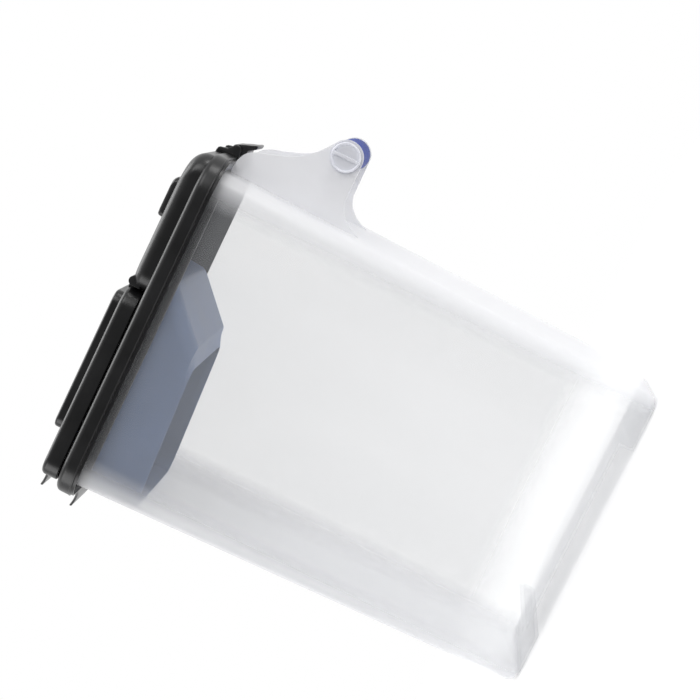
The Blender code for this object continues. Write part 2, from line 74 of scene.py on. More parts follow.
LID_Z = 0.4300
LID_TOP = 0.4475
LID_WALL = 0.0030
LID_HALF_W = LID_HIGH.x
LID_OVERHANG = LID_HALF_W - TUB_HALF_W
LID_HALF_D = TUB_HALF_D + LID_OVERHANG
DECK_TOP = 0.4635
DECK_HALF_W = 0.1090
DECK = (MID_Y + 0.0300, MID_Y + 0.1655)
KNOB_HALF_W = 0.0450
KNOB_Y = (MID_Y + 0.0900, MID_Y + 0.1310)
PLUG_INSET = 0.0033     # gap from the tub's outer wall to the plug ring
PLUG_WALL = 0.0022
PLUG_LOW = 0.4240

GRIP_Y = 0.5 * (GRIP_LOW.y + GRIP_HIGH.y)
GRIP_Z = 0.5 * (GRIP_LOW.z + GRIP_HIGH.z)
GRIP_RADIUS = 0.5 * (GRIP_HIGH.z - GRIP_LOW.z)
GRIP_BORE = 0.0092
CHEEK_RADIUS = CHEEK_HIGH.y - GRIP_Y
CAP_RADIUS = 0.5 * (CAP_HIGH.z - CAP_LOW.z)

FLAP_HINGE = tuple(JOINTS["flap_hinge"]["pos_m"][1:])
FLAP_BARREL = 0.0045
FLAP_Y = (MID_Y - 0.1590, MID_Y + 0.0285)
FLAP_HALF_W = FLAP_HIGH.x
FLAP_TOP = 0.4655
PAD_TOP = FLAP_HIGH.z
PAD_Y = (MID_Y - 0.1180, MID_Y + 0.0195)
PAD_HALF_W = 0.0880
PAD_CORNER = 0.0120
OPENING_Y = (MID_Y - 0.1400, MID_Y + 0.0130)
OPENING_HALF_W = 0.0820
OPENING_CORNER = 0.0160
COLLAR_WALL = 0.0030
TAB_ROOT_HALF_W = 0.0650
TAB_TIP_HALF_W = 0.0345
TAB_THICK = 0.0025
LUG_X = (0.0254, 0.0305)
LUG_RADIUS = 0.0046

LATCH_HINGE = tuple(JOINTS["latch_hinge"]["pos_m"][1:])
LATCH_HALF_W = LATCH_HIGH.x
LATCH_BARREL = 0.0042
PIN_RADIUS = 0.0018
BORE_RADIUS = 0.0019

CORNER_STEPS = 14
ROUND_STEPS = 64
LENS_PER_WIDTH = 2040.0 / 700.0     # focal length over sensor width
SEE_THROUGH_FACES = 32              # milky faces that a line of sight may cross
SKY_DIM = 0.22                      # brightness of the studio's dim side, where its bright side is 1
SKY_SIDE = (-0.87, 0.24, 0.43)      # direction of the bright side


# ---------------------------------------------------------------- shape helpers
def ring(half_w, y_pair, z, corner, tilt=0.0, steps=CORNER_STEPS):
    """Rounded rectangle at height z; tilt is how much higher its back edge is."""
    y_front, y_back = y_pair
    points = []
    centres = (
        (half_w - corner, y_back - corner, 0.0),
        (-half_w + corner, y_back - corner, 90.0),
        (-half_w + corner, y_front + corner, 180.0),
        (half_w - corner, y_front + corner, 270.0),
    )
    for cx, cy, start in centres:
        for step in range(steps + 1):
            angle = math.radians(start + 90.0 * step / steps)
            x = cx + corner * math.cos(angle)
            y = cy + corner * math.sin(angle)
            points.append((x, y, z + tilt * (y - y_front) / (y_back - y_front)))
    return points


def inset_ring(half_w, y_pair, z, corner, inset):
    """Rounded rectangle moved inwards all round by inset."""
    return ring(half_w - inset, (y_pair[0] + inset, y_pair[1] - inset), z, max(corner - inset, 0.0015))


def loft(rings, closed=False):
    """Skin a list of rings; the two ends are capped, or joined to each other if closed."""
    bm = bmesh.new()
    rows = [[bm.verts.new(p) for p in points] for points in rings]
    count = len(rows[0])
    pairs = list(zip(rows, rows[1:]))
    if closed:
        pairs.append((rows[-1], rows[0]))
    else:
        bm.faces.new(rows[0])
        bm.faces.new(rows[-1])
    for low, high in pairs:
        for i in range(count):
            j = (i + 1) % count
            bm.faces.new((low[i], low[j], high[j], high[i]))
    bmesh.ops.recalc_face_normals(bm, faces=bm.faces)
    return bm


def rounding(radius, start, end, steps):
    """(outward, upward) offsets along a quarter round, angles in degrees from outward to up."""
    offsets = []
    for step in range(steps + 1):
        angle = math.radians(start + (end - start) * step / steps)
        offsets.append((radius * math.cos(angle), radius * math.sin(angle)))
    return offsets


def arc(centre, radius, start, end, steps):
    """(y, z) points along an arc, angles in degrees from +Y towards +Z."""
    return [(centre[0] + dy, centre[1] + dz) for dy, dz in rounding(radius, start, end, steps)]


def circle(centre, radius, steps=ROUND_STEPS):
    return arc(centre, radius, 0.0, 360.0 * (steps - 1) / steps, steps - 1)


def prism(outline, x_low, x_high, bevel=0.0, segments=3):
    """Extrude a closed outline of (y, z) points along X and round its two end faces' edges."""
    bm = bmesh.new()
    face = bm.faces.new([bm.verts.new((x_low, y, z)) for y, z in outline])
    made = bmesh.ops.extrude_face_region(bm, geom=[face])
    moved = [v for v in made["geom"] if isinstance(v, bmesh.types.BMVert)]
    bmesh.ops.translate(bm, verts=moved, vec=(x_high - x_low, 0.0, 0.0))
    bmesh.ops.recalc_face_normals(bm, faces=bm.faces)
    if bevel:
        rims = [e for e in bm.edges if abs(e.verts[0].co.x - e.verts[1].co.x) < 1e-7]
        bmesh.ops.bevel(bm, geom=rims, offset=bevel, segments=segments, profile=0.5, affect="EDGES",
                        clamp_overlap=True)
    return bm


def turned(centre, profile, side=1.0, steps=ROUND_STEPS, capped=False):
    """Solid turned about a line along X; profile is (x, radius) points, a loop unless capped."""
    bm = bmesh.new()
    rows = []
    for x, radius in profile:
        rows.append([bm.verts.new((side * x, y, z)) for y, z in circle(centre, radius, steps)])
    pairs = list(zip(rows, rows[1:]))
    if capped:
        bm.faces.new(rows[0])
        bm.faces.new(rows[-1])
    else:
        pairs.append((rows[-1], rows[0]))
    for low, high in pairs:
        for i in range(steps):
            j = (i + 1) % steps
            bm.faces.new((low[i], low[j], high[j], high[i]))
    bmesh.ops.recalc_face_normals(bm, faces=bm.faces)
    return bm


def bar(centre, radius, x_low, x_high, steps=32):
    """Plain round bar along X, for bores."""
    return turned(centre, [(x_low, radius), (x_high, radius)], steps=steps, capped=True)


def rounded_box(x, y, z, radius, segments=3):
    bm = bmesh.new()
    bmesh.ops.create_cube(bm, size=1.0)
    for vert in bm.verts:
        for axis, (low, high) in enumerate((x, y, z)):
            vert.co[axis] = low if vert.co[axis] < 0 else high
    if radius:
        bmesh.ops.bevel(bm, geom=list(bm.edges), offset=radius, segments=segments, profile=0.5,
                        affect="EDGES", clamp_overlap=True)
    return bm


def new_object(name, bm):
    mesh = bpy.data.meshes.new(name)
    bm.to_mesh(mesh)
    bm.free()
    obj = bpy.data.objects.new(name, mesh)
    bpy.context.scene.collection.objects.link(obj)
    return obj


def combine(obj, bm, operation):
    """Boolean of obj with the solid bm, applied to obj's mesh at once."""
    tool = new_object("tool", bm)
    modifier = obj.modifiers.new("combine", "BOOLEAN")
    modifier.operation = operation
    modifier.solver = "EXACT"
    modifier.object = tool
    depsgraph = bpy.context.evaluated_depsgraph_get()
    made = bpy.data.meshes.new_from_object(obj.evaluated_get(depsgraph))
    obj.modifiers.clear()
    old = obj.data
    obj.data = made
    bpy.data.meshes.remove(old)
    bpy.data.objects.remove(tool, do_unlink=True)


def join(obj, bm):
    combine(obj, bm, "UNION")


def cut(obj, bm):
    combine(obj, bm, "DIFFERENCE")


def stand_in(obj, body, slot, look, *nodes):
    """Give a finished piece its shading, material and body, and hide the CAD nodes it shows. The slot
    argument is not used.
    """
    obj.data.shade_smooth()
    obj.data.set_sharp_from_angle(angle=math.radians(32))
    obj.data.materials.clear()
    obj.data.materials.append(look)
    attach(obj, body)
    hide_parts(*nodes)
    return obj


# ---------------------------------------------------------------- materials
class Look:
    """A node material built round one Principled shader, with short helpers."""

    def __init__(self, name, **constants):
        self.material = bpy.data.materials.new(name)
        self.material.use_nodes = True
        self.nodes = self.material.node_tree.nodes
        self.links = self.material.node_tree.links
        self.shader = self.nodes["Principled BSDF"]
        for socket, value in constants.items():
            self.shader.inputs[socket.replace("_", " ")].default_value = value
        self.place = self.nodes.new("ShaderNodeTexCoord").outputs["Object"]

    def noise(self, scale, detail=3.0, roughness=0.55, stretch=(1.0, 1.0, 1.0)):
        mapping = self.nodes.new("ShaderNodeMapping")
        mapping.inputs["Scale"].default_value = stretch
        self.links.new(self.place, mapping.inputs["Vector"])
        node = self.nodes.new("ShaderNodeTexNoise")
        node.inputs["Scale"].default_value = scale
        node.inputs["Detail"].default_value = detail
        node.inputs["Roughness"].default_value = roughness
        self.links.new(mapping.outputs["Vector"], node.inputs["Vector"])
        return node.outputs["Fac"]

    def spread(self, value, low, high, start=0.3, end=0.7):
        """Map a noise value onto the range low to high."""
        node = self.nodes.new("ShaderNodeMapRange")
        node.inputs["From Min"].default_value = start
        node.inputs["From Max"].default_value = end
        node.inputs["To Min"].default_value = low
        node.inputs["To Max"].default_value = high
        self.links.new(value, node.inputs["Value"])
        return node.outputs["Result"]

    def blend(self, factor, first, second):
        node = self.nodes.new("ShaderNodeMix")
        node.data_type = "RGBA"
        self.links.new(factor, node.inputs["Factor"])
        for socket, value in ((6, first), (7, second)):
            if isinstance(value, tuple):
                node.inputs[socket].default_value = (*value, 1.0)
            else:
                self.links.new(value, node.inputs[socket])
        return node.outputs[2]

    def bump(self, height, distance, strength=1.0, below=None):
        node = self.nodes.new("ShaderNodeBump")
        node.inputs["Distance"].default_value = distance
        node.inputs["Strength"].default_value = strength
        self.links.new(height, node.inputs["Height"])
        if below is not None:
            self.links.new(below, node.inputs["Normal"])
        return node.outputs["Normal"]

    def away_from_middle(self):
        """Distance from the tub's middle plane, front to back."""
        parts = self.nodes.new("ShaderNodeSeparateXYZ")
        self.links.new(self.place, parts.inputs["Vector"])
        centred = self.nodes.new("ShaderNodeMath")
        centred.operation = "SUBTRACT"
        centred.inputs[1].default_value = MID_Y
        self.links.new(parts.outputs["Y"], centred.inputs[0])
        size = self.nodes.new("ShaderNodeMath")
        size.operation = "ABSOLUTE"
        self.links.new(centred.outputs[0], size.inputs[0])
        return size.outputs[0]

    def add(self, first, second):
        node = self.nodes.new("ShaderNodeMath")
        self.links.new(first, node.inputs[0])
        self.links.new(second, node.inputs[1])
        return node.outputs[0]

    def drive(self, **sockets):
        for name, output in sockets.items():
            self.links.new(output, self.shader.inputs[name.replace("_", " ")])
        return self.material


def milky_look(name, thin, thick, light=(0.71, 0.722, 0.748), dim=(0.64, 0.652, 0.676),
               thick_and_lit=(0.89, 0.892, 0.912)):
    """Milky polypropylene: clouded, see-through, denser round the corners and in the cheeks, and whiter
    there, partly from the thicker plastic and partly as a painted highlight for the light falling on
    them.
    """
    look = Look(name, IOR=1.49, Specular_IOR_Level=0.5)
    flow = look.noise(7.0, 4.0, 0.5, (1.0, 1.0, 0.35))
    haze = look.noise(34.0, 2.0)
    depth = look.away_from_middle()
    edge = (TUB_HALF_D - 0.034, TUB_HALF_D - 0.006)     # where the denser plastic begins and is full
    clouded = look.blend(look.spread(flow, 0.0, 1.0), light, dim)
    # colour turns whiter towards the corners and cheeks: partly the denser milky plastic, partly painted
    # highlight standing in for the light that falls there
    colour = look.blend(look.spread(depth, 0.0, 1.0, *edge), clouded, thick_and_lit)
    dense = look.spread(depth, 0.0, thick - thin, *edge)
    alpha = look.add(look.spread(flow, thin - 0.015, thin + 0.015), dense)
    roughness = look.spread(haze, 0.31, 0.38)
    peel = look.bump(look.noise(22.0, 1.0), 0.0004, 0.012)
    return look.drive(Base_Color=colour, Alpha=alpha, Roughness=roughness, Normal=peel)


def black_look(name, dark=(0.0032, 0.0032, 0.0036), pale=(0.0075, 0.0075, 0.0082)):
    """Black moulded plastic with a fine spark-eroded grain and slightly polished patches."""
    look = Look(name, IOR=1.5, Specular_IOR_Level=0.5)
    patches = look.noise(26.0, 4.0, 0.6)
    grain = look.noise(2600.0, 2.0, 0.5)
    colour = look.blend(look.spread(patches, 0.0, 1.0), dark, pale)
    roughness = look.spread(patches, 0.28, 0.36)
    waves = look.bump(look.noise(45.0, 2.0), 0.0004, 0.12)
    normal = look.bump(grain, 0.00012, 0.15, waves)
    return look.drive(Base_Color=colour, Roughness=roughness, Normal=normal)


def smoky_look():
    """Smoky blue-grey plastic that lets a little light through."""
    look = Look("chute_look", IOR=1.5, Specular_IOR_Level=0.35)
    clouds = look.noise(16.0, 3.0)
    colour = look.blend(look.spread(clouds, 0.0, 1.0), (0.095, 0.145, 0.265), (0.120, 0.175, 0.310))
    alpha = look.spread(clouds, 0.83, 0.88)
    peel = look.bump(look.noise(60.0, 2.0), 0.0004, 0.03)
    roughness = look.spread(clouds, 0.34, 0.46)
    return look.drive(Base_Color=colour, Alpha=alpha, Roughness=roughness, Normal=peel)


def blue_look():
    """Blue soft-touch sleeve: fine pores, a little paler where hands rub it."""
    look = Look("blue_sleeve_look", IOR=1.5, Specular_IOR_Level=0.4)
    rubbed = look.noise(40.0, 3.0)
    pores = look.noise(1800.0, 2.0)
    colour = look.blend(look.spread(rubbed, 0.0, 1.0), (0.005, 0.024, 0.21), (0.013, 0.046, 0.31))
    roughness = look.spread(rubbed, 0.42, 0.58)
    return look.drive(Base_Color=colour, Roughness=roughness, Normal=look.bump(pores, 0.0002, 0.35))


def seal_look():
    """Grey soft seal with a dusty, uneven face."""
    look = Look("seal_look", IOR=1.45, Specular_IOR_Level=0.3)
    dust = look.noise(90.0, 4.0)
    colour = look.blend(look.spread(dust, 0.0, 1.0), (0.22, 0.225, 0.23), (0.33, 0.335, 0.34))
    roughness = look.spread(dust, 0.62, 0.78)
    grain = look.bump(look.noise(900.0, 2.0), 0.0002, 0.3)
    return look.drive(Base_Color=colour, Roughness=roughness, Normal=grain)


def steel_look():
    """Drawn steel wire, with fine scratches along its length."""
    look = Look("steel_look", Metallic=1.0)
    scratches = look.noise(700.0, 3.0, 0.6, (0.03, 1.0, 1.0))
    colour = look.blend(look.spread(scratches, 0.0, 1.0), (0.50, 0.50, 0.51), (0.66, 0.66, 0.67))
    return look.drive(Base_Color=colour, Roughness=look.spread(scratches, 0.22, 0.40))


TUB_LOOK = milky_look("tub_look", 0.125, 0.55)
CAP_LOOK = milky_look("cap_look", 0.15, 0.72, thick_and_lit=(0.93, 0.94, 1.0))
BLACK = black_look("black_lid_look")
CHUTE_LOOK = smoky_look()
BLUE = blue_look()
SEAL = seal_look()
STEEL = steel_look()


# ---------------------------------------------------------------- container
def tub_ring(z, offset=0.0):
    """Section of the tapered tub at height z, its outline moved outwards by offset."""
    shrink = TUB_DRAFT * (1.0 - z / TUB_TOP)
    half_w = TUB_HALF_W - shrink + offset
    half_d = TUB_HALF_D - shrink + offset
    corner = max(TUB_CORNER - 0.3 * shrink + offset, 0.003)
    return ring(half_w, (MID_Y - half_d, MID_Y + half_d), z, corner)


def tub_side(offset, z_low, z_top, radius):
    """Rings from the rounded lower edge up the side wall."""
    rings = []
    for outward, up in rounding(radius, -90.0, 0.0, 8):
        rings.append(tub_ring(z_low + radius + up, offset - radius + outward))
    steps = 6
    for step in range(1, steps + 1):
        rings.append(tub_ring(z_low + radius + (z_top - z_low - radius) * step / steps, offset))
    return rings


def channel_outline(grow, height, round_in):
    """Side view of the channel between the feet, its upper corners rounded."""
    front = CHANNEL[0] - grow
    back = CHANNEL[1] + grow
    outline = [(front, -0.02)]
    outline += arc((front + round_in, height - round_in), round_in, 180.0, 90.0, 6)
    outline += arc((back - round_in, height - round_in), round_in, 90.0, 0.0, 6)
    outline += [(back, -0.02)]
    return outline


def floor_fill():
    """Block for the raised floor over the channel, inside the walls' rounded lower edge."""
    radius = EDGE_RADIUS - 0.5 * WALL
    rings = []
    for outward, up in rounding(radius, -90.0, 0.0, 8):
        z = 0.5 * WALL + radius + up
        half_w = TUB_HALF_W - TUB_DRAFT * (1.0 - z / TUB_TOP) - 0.5 * WALL - radius + outward
        rings.append(ring(half_w, (CHANNEL[0] - WALL, CHANNEL[1] + WALL), z, 0.0006, steps=2))
    z = FOOT_HEIGHT + WALL
    half_w = TUB_HALF_W - TUB_DRAFT * (1.0 - z / TUB_TOP) - 0.5 * WALL
    rings.append(ring(half_w, (CHANNEL[0] - WALL, CHANNEL[1] + WALL), z, 0.0006, steps=2))
    return loft(rings)


def wall_back(z):
    return MID_Y + TUB_HALF_D - TUB_DRAFT * (1.0 - z / TUB_TOP)


def smooth_through(points, steps=6):
    """Points of a smooth curve through the given (y, z) points."""
    ends = [points[0]] + list(points) + [points[-1]]
    curve = []
    for i in range(1, len(ends) - 2):
        p0, p1, p2, p3 = (Vector(p) for p in ends[i - 1:i + 3])
        for step in range(steps):
            t = step / steps
            value = 0.5 * (2.0 * p1 + (p2 - p0) * t + (2.0 * p0 - 5.0 * p1 + 4.0 * p2 - p3) * t ** 2
                           + (3.0 * p1 - p0 - 3.0 * p2 + p3) * t ** 3)
            curve.append(tuple(value))
    curve.append(tuple(points[-1]))
    return curve


def cheek_outline(depth_in_wall):
    """Side view of a cheek: foot along the tub's back wall, round end about the grip."""
    low, high = CHEEK_LOW.z, CHEEK_HIGH.z
    foot = [(wall_back(low) - depth_in_wall, low + 0.0004), (wall_back(low) + 0.0004, low + 0.0010),
            (MID_Y + 0.1560, 0.3085), (MID_Y + 0.1605, 0.3160), (MID_Y + 0.1675, 0.3226),
            (MID_Y + 0.1770, 0.3262)]
    round_end = arc((GRIP_Y, GRIP_Z), CHEEK_RADIUS, -90.0, 52.0, 22)
    crest = [round_end[-1], (MID_Y + 0.2150, 0.3603), (MID_Y + 0.2080, 0.3660), (MID_Y + 0.2020, 0.3718),
             (MID_Y + 0.1968, 0.3784), (MID_Y + 0.1929, 0.3852), (MID_Y + 0.1898, 0.3928),
             (MID_Y + 0.1860, 0.4035), (MID_Y + 0.1823, 0.4155), (MID_Y + 0.1770, 0.4240),
             (MID_Y + 0.1690, 0.4285), (MID_Y + 0.1600, high - 0.0002)]
    return smooth_through(foot, 4) + round_end[1:-1] + smooth_through(crest, 4) \
        + [(wall_back(high) - depth_in_wall, high - 0.0002)]


def make_tub():
    bead_low = 0.4332
    rings = tub_side(0.0, 0.0, bead_low, EDGE_RADIUS)
    rings += [tub_ring(bead_low + 0.0012, 0.0012), tub_ring(bead_low + 0.0020, RIM_FLANGE - 0.0010),
              tub_ring(bead_low + 0.0030, RIM_FLANGE)]
    top_round = 0.0016
    for outward, up in rounding(top_round, 0.0, 90.0, 4):
        rings.append(tub_ring(TUB_TOP - top_round + up, RIM_FLANGE - top_round + outward))
    rings += [tub_ring(TUB_TOP, -WALL + 0.0008), tub_ring(TUB_TOP - 0.0008, -WALL)]
    rings += tub_side(-WALL, WALL, 0.4300, EDGE_RADIUS - WALL)[::-1]
    tub = new_object("tub_shell", loft(rings))
    join(tub, floor_fill())
    cut(tub, prism(channel_outline(0.0, FOOT_HEIGHT, 0.0025), -0.2, 0.2))
    for side in (-1.0, 1.0):
        faces = sorted((side * CHEEK_LOW.x, side * CHEEK_HIGH.x))
        join(tub, prism(cheek_outline(0.5 * WALL), *faces, bevel=0.0010, segments=3))
        cut(tub, bar((GRIP_Y, GRIP_Z), GRIP_BORE, faces[0] - 0.001, faces[1] + 0.001))
    return stand_in(tub, "container", "milky_plastic", TUB_LOOK, "container_body",
                    "handle_cheek_left", "handle_cheek_right")


def make_grip_sleeve():
    """Blue sleeve with shallow turned ribs between two plain collars."""
    half = GRIP_HIGH.x
    bore = 0.0125
    collar = 0.0070
    edge = 0.0012
    ribs = 18
    rib_depth = 0.0006
    end = [(-half, bore), (-half, GRIP_RADIUS - edge)]
    for angle in (22.0, 45.0, 68.0, 90.0):
        dx = edge * math.cos(math.radians(angle))
        dr = edge * math.sin(math.radians(angle))
        end.append((-half + edge - dx, GRIP_RADIUS - edge + dr))
    profile = list(end)
    span = 2.0 * (half - collar)
    steps = ribs * 6
    for step in range(steps + 1):
        x = -half + collar + span * step / steps
        wave = 0.5 - 0.5 * math.cos(2.0 * math.pi * ribs * step / steps)
        profile.append((x, GRIP_RADIUS - rib_depth * wave))
    profile += [(-x, radius) for x, radius in reversed(end)]
    sleeve = new_object("grip_sleeve", turned((GRIP_Y, GRIP_Z), profile))
    return stand_in(sleeve, "grip", "blue_rubber", BLUE, "handle_grip")


def make_grip_core():
    half = GRIP_HIGH.x
    radius = 0.0122
    chamfer = 0.0004
    profile = [(-half, GRIP_BORE), (-half, radius - chamfer), (-half + chamfer, radius),
               (half - chamfer, radius), (half, radius - chamfer), (half, GRIP_BORE)]
    core = new_object("grip_core_tube", turned((GRIP_Y, GRIP_Z), profile))
    return stand_in(core, "grip", "milky_plastic", TUB_LOOK, "handle_core")


def make_cap(side, label):
    """Dished plug: rolled rim, finger rib across the dish, stub that carries the core tube."""
    face = CHEEK_HIGH.x + GAP
    rim = CAP_HIGH.x
    floor = face + 0.0010
    dish = CAP_RADIUS - 0.0018
    lip = 0.0009
    stub = GRIP_BORE - 0.0001
    profile = [(CAP_LOW.x, stub - 0.0028), (CAP_LOW.x, stub - 0.0008), (CAP_LOW.x + 0.0008, stub),
               (face, stub), (face, CAP_RADIUS - 0.0003), (face + 0.0003, CAP_RADIUS)]
    profile += [(rim - lip + dx, CAP_RADIUS - lip + dr) for dr, dx in rounding(lip, 0.0, 180.0, 10)]
    profile += [(floor + 0.0006, dish), (floor + 0.0001, dish - 0.0005)]
    cap = new_object("grip_cap_plug_" + label, turned((GRIP_Y, GRIP_Z), profile, side, capped=True))
    faces = sorted((side * (face + 0.0003), side * (rim - 0.0004)))
    reach = dish + 0.0004
    rib = rounded_box(faces, (GRIP_Y - 0.0015, GRIP_Y + 0.0015), (GRIP_Z - reach, GRIP_Z + reach), 0.0005)
    join(cap, rib)
    return stand_in(cap, "container", "milky_plastic", CAP_LOOK, "grip_cap_" + label)


# ---------------------------------------------------------------- lid
def lid_ring(z, inset):
    y_pair = (MID_Y - LID_HALF_D, MID_Y + LID_HALF_D)
    return inset_ring(LID_HALF_W, y_pair, z, TUB_CORNER + LID_OVERHANG, inset)


def deck_profile(steps):
    """(height, side inset, back inset, front inset) up the deck's rounded edge."""
    rise = DECK_TOP - LID_TOP
    upright = 0.45          # share of the rise over which the side and front edges stay straight
    rows = [(LID_TOP - 0.0020, 0.0, 0.0, 0.0), (LID_TOP, 0.0, 0.0, 0.0)]
    for step in range(steps + 1):
        angle = math.radians(90.0 * step / steps)
        up = rise * math.sin(angle)
        inward = 1.0 - math.cos(angle)
        side_up = max(0.0, (math.sin(angle) - upright) / (1.0 - upright))
        side_in = 1.0 - math.sqrt(max(1.0 - side_up ** 2, 0.0))
        rows.append((LID_TOP + up, 0.0085 * side_in, 0.0200 * inward, 0.0045 * side_in))
    return rows


def front_tab(root_y, root_z, tip_y, tip_z, steps=20, across=24):
    """Finger tab: flares out to a wide root, tip a little upturned, rounded corners and edge."""
    bm = bmesh.new()
    corner = 0.0035
    flare = 1.6
    rows = []
    for step in range(steps + 1):
        t = 1.0 - (1.0 - step / steps) ** flare
        y = root_y + (tip_y - root_y) * t
        left = y - tip_y
        half = TAB_TIP_HALF_W + (TAB_ROOT_HALF_W - TAB_TIP_HALF_W) * (1.0 - t) ** flare
        if left < corner:
            half -= corner - math.sqrt(max(corner ** 2 - (corner - left) ** 2, 0.0))
        z = root_z + (tip_z - root_z) * t * t
        thick = TAB_THICK * (1.0 - 0.2 * t)
        if step == steps:
            z += 0.3 * thick
            thick *= 0.4
        round_off = min(0.0006, 0.3 * thick)
        right = [(half - round_off, z), (half, z + round_off), (half, z + thick - round_off),
                 (half - round_off, z + thick)]
        inner = [(half * (1.0 - 2.0 * i / across) * 0.98, z + thick) for i in range(across + 1)]
        left_side = [(-x, level) for x, level in reversed(right)]
        under = [(x, z) for x, level in reversed(inner)]
        rows.append([bm.verts.new((x, y, level)) for x, level in right + inner + left_side + under])
    count = len(rows[0])
    for low, high in zip(rows, rows[1:]):
        for i in range(count):
            j = (i + 1) % count
            bm.faces.new((low[i], low[j], high[j], high[i]))
    bm.faces.new(rows[0])
    bm.faces.new(rows[-1])
    bmesh.ops.recalc_face_normals(bm, faces=bm.faces)
    return bm


def make_lid():
    rim_round = 0.0056
    shoulder = 0.0004
    lower_edge = ((0.0, 0.0018), (0.0002, 0.0015), (0.0025, 0.0015), (0.0027, 0.0006), (0.0031, 0.0001),
                  (0.0035, 0.0), (0.0040, 0.0001), (0.0044, shoulder), (0.0052, shoulder))
    rings = [lid_ring(LID_Z + up, inset) for up, inset in lower_edge]
    for outward, up in rounding(rim_round, 0.0, 90.0, 9):
        rings.append(lid_ring(LID_TOP - rim_round + up, shoulder + rim_round - outward))
    lid = new_object("lid_shell", loft(rings))
    deck = [ring(DECK_HALF_W - side, (DECK[0] + front, DECK[1] - back), z, 0.0200)
            for z, side, back, front in deck_profile(12)]
    join(lid, loft(deck))
    knob = []
    for z, side, front, back in ((DECK_TOP - 0.002, 0.0, 0.0, 0.0), (0.4725, 0.0006, 0.0003, 0.0016),
                                 (0.4742, 0.0010, 0.0007, 0.0034), (0.4752, 0.0018, 0.0014, 0.0054),
                                 (LID_HIGH.z, 0.0030, 0.0024, 0.0078)):
        knob.append(ring(KNOB_HALF_W - side, (KNOB_Y[0] + front, KNOB_Y[1] - back), z, 0.0055))
    join(lid, loft(knob))
    collar_y = (OPENING_Y[0] - COLLAR_WALL, OPENING_Y[1] + COLLAR_WALL)
    collar = [inset_ring(OPENING_HALF_W + COLLAR_WALL, collar_y, z, OPENING_CORNER + COLLAR_WALL, inset)
              for z, inset in ((LID_TOP - 0.002, 0.0), (0.4509, 0.0), (0.4515, 0.0006))]
    join(lid, loft(collar))
    underside = LID_TOP - LID_WALL
    cut(lid, loft([lid_ring(LID_Z - 0.01, LID_WALL), lid_ring(underside - 0.0015, LID_WALL),
                   lid_ring(underside, LID_WALL + 0.0015)]))
    hollow_rows = ((0.4400, 0.0040, 0.0035), (0.4500, 0.0040, 0.0045), (0.4550, 0.0052, 0.0085),
                   (0.4580, 0.0075, 0.0135), (0.4600, 0.0100, 0.0180), (0.4610, 0.0125, 0.0215))
    cut(lid, loft([ring(DECK_HALF_W - side, (DECK[0] + 0.0145, DECK[1] - back), z, 0.017)
                   for z, side, back in hollow_rows]))
    cut(lid, loft([ring(OPENING_HALF_W, OPENING_Y, z, OPENING_CORNER) for z in (0.4380, 0.4600)]))
    plug_w = TUB_HALF_W - PLUG_INSET
    plug_d = TUB_HALF_D - PLUG_INSET
    plug_top = underside + 0.0010
    plug_rows = ((0.0006, PLUG_LOW), (0.0, PLUG_LOW + 0.0008), (0.0, plug_top), (PLUG_WALL, plug_top),
                 (PLUG_WALL, PLUG_LOW))
    join(lid, loft([inset_ring(plug_w, (MID_Y - plug_d, MID_Y + plug_d), z, 0.0215, inset)
                    for inset, z in plug_rows], closed=True))
    add_flap_seat(lid)
    add_latch_seat(lid)
    join(lid, front_tab(MID_Y - 0.1665, 0.4303, LID_LOW.y, 0.4340))
    return stand_in(lid, "lid", "black_plastic", BLACK, "lid_frame")


def add_flap_seat(lid):
    """Trough and knuckles for the flap's hinge along the deck's front edge."""
    y, z = FLAP_HINGE
    trough = rounded_box((-0.0998, 0.0998), (y - 0.0200, y + 0.0060), (z - 0.0060, z + 0.0200), 0.0010)
    cut(lid, trough)
    for low, high in ((-0.0315, 0.0315), (-0.0999, -0.0890), (0.0890, 0.0999)):
        outline = [(y - 0.0045, z - 0.0075), (y + 0.0070, z - 0.0075), (y + 0.0070, z)]
        outline += arc((y, z), FLAP_BARREL, 30.0, 180.0, 16)
        join(lid, prism(outline, low, high, bevel=0.0004, segments=2))
    cut(lid, bar((y, z), BORE_RADIUS, -0.0988, 0.0988))


def add_latch_seat(lid):
    """Bridge on the rim's back edge and the two lugs that hold the latch pin."""
    y, z = LATCH_HINGE
    back = MID_Y
    bridge = [(back + 0.1540, 0.4455), (back + 0.1660, 0.4455), (back + 0.1668, 0.4400),
              (back + 0.1682, 0.4410), (back + 0.1684, 0.4425), (back + 0.1682, 0.4500)]
    bridge += arc((back + 0.1664, 0.4514), 0.0018, 0.0, 90.0, 5)
    bridge += [(back + 0.1560, 0.4533), (back + 0.1540, 0.4530)]
    join(lid, prism(bridge, -LUG_X[1], LUG_X[1], bevel=0.0008, segments=3))
    lug = [(back + 0.1665, z - 0.0055), (y - 0.0010, z - LUG_RADIUS)]
    lug += arc((y, z), LUG_RADIUS, -75.0, 60.0, 14)
    lug += [(back + 0.1718, 0.4440), (back + 0.1708, 0.4490), (back + 0.1702, 0.4512),
            (back + 0.1690, 0.4526), (back + 0.1660, 0.4527), (back + 0.1660, 0.4440)]
    join(lid, prism(lug, -LUG_X[1], -LUG_X[0], bevel=0.0006, segments=3))
    join(lid, prism(lug, *LUG_X, bevel=0.0006, segments=3))
    cut(lid, bar((y, z), BORE_RADIUS, -LUG_X[1] + 0.0006, LUG_X[1] - 0.0006))


